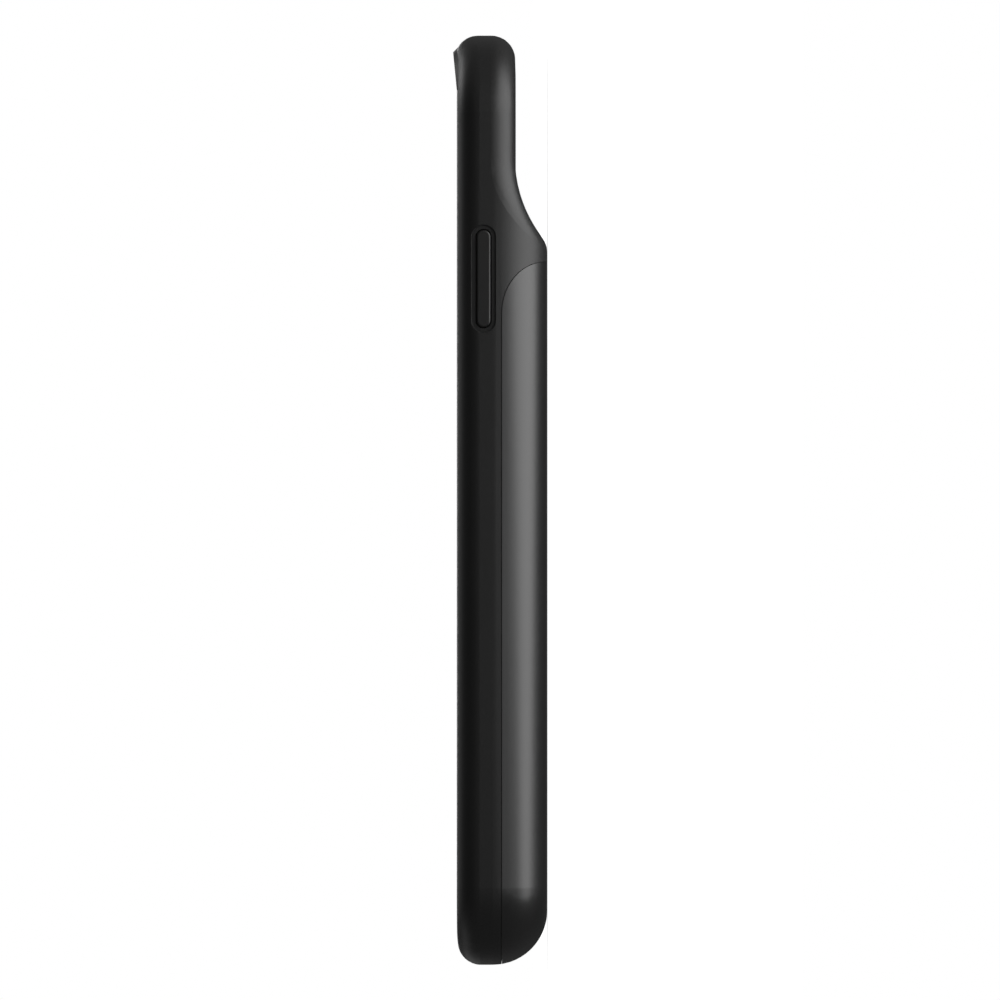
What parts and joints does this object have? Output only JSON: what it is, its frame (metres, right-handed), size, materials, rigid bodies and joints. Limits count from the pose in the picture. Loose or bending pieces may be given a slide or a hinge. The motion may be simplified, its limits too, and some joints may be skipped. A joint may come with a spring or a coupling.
{
  "type": "battery charging case",
  "caption": "Black snap-in battery case for a phone: open-fronted frame with a thin camera zone, a shoulder, side buttons and a rounded battery back that charges the phone without a plug.",
  "frame": {"origin": "middle of the case, on the back face that it lies on", "axes": "+Z out of the open front, +Y to the top end with the camera window, +X to the power button's side"},
  "size_m": [0.0826, 0.1626, 0.0165],
  "materials": {
    "frame_plastic": "fine matt black, soft to the touch",
    "cover_plastic": "satin black",
    "button_plastic": "satin black",
    "tray_plastic": "fine matt black",
    "light_pipe": "milky clear",
    "lamp": "white with a pale yellow lens",
    "circuit_board": "green solder resist",
    "chip_body": "moulded black",
    "capacitor_body": "tan ceramic",
    "inductor_body": "dark grey pressed powder",
    "tinned_steel": "bright tinned",
    "screw_steel": "plated",
    "switch_body": "moulded black",
    "cell_foil": "satin foil",
    "tape": "off-white film",
    "nickel": "rolled nickel",
    "copper": "lacquered copper wire",
    "ferrite": "dark grey sintered",
    "foam": "closed cell foam",
    "flex_film": "amber film",
    "connector_body": "cream"
  },
  "bodies": {
    "case": {"outer_frame": "frame_plastic", "rear_cover": "cover_plastic", "inner_tray": "tray_plastic", "led_light_pipes": "light_pipe", "status_leds": "lamp", "status_switch": "switch_body", "main_board": "circuit_board", "protection_board": "circuit_board", "shield_can": "tinned_steel", "control_chips": "chip_body", "power_inductors": "inductor_body", "capacitors": "capacitor_body", "board_screws": "screw_steel", "usb_c_shell": "tinned_steel", "usb_c_tongue": "chip_body", "battery_cell": "cell_foil", "cell_tape": "tape", "cell_tabs": "nickel", "transmit_coil": "copper", "receive_coil": "copper", "transmit_ferrite": "ferrite", "receive_ferrite": "ferrite", "coil_foam": "foam", "transmit_flex": "flex_film", "receive_flex": "flex_film", "flex_connectors": "connector_body"},
    "power_button": {"power_button": "button_plastic"},
    "volume_up_button": {"volume_up_button": "button_plastic"},
    "volume_down_button": {"volume_down_button": "button_plastic"},
    "status_button": {"status_button": "button_plastic"}
  },
  "joints": [
    {"name": "power_press", "type": "slide", "parent": "case", "child": "power_button", "axis": [-1, 0, 0], "range_m": [0, 0.0005], "stiffness_N_per_m": 1000},
    {"name": "volume_up_press", "type": "slide", "parent": "case", "child": "volume_up_button", "axis": [1, 0, 0], "range_m": [0, 0.0005], "stiffness_N_per_m": 1000},
    {"name": "volume_down_press", "type": "slide", "parent": "case", "child": "volume_down_button", "axis": [1, 0, 0], "range_m": [0, 0.0005], "stiffness_N_per_m": 1000},
    {"name": "status_press", "type": "slide", "parent": "case", "child": "status_button", "axis": [0, 0, 1], "range_m": [0, 0.0003], "stiffness_N_per_m": 2000}
  ]
}
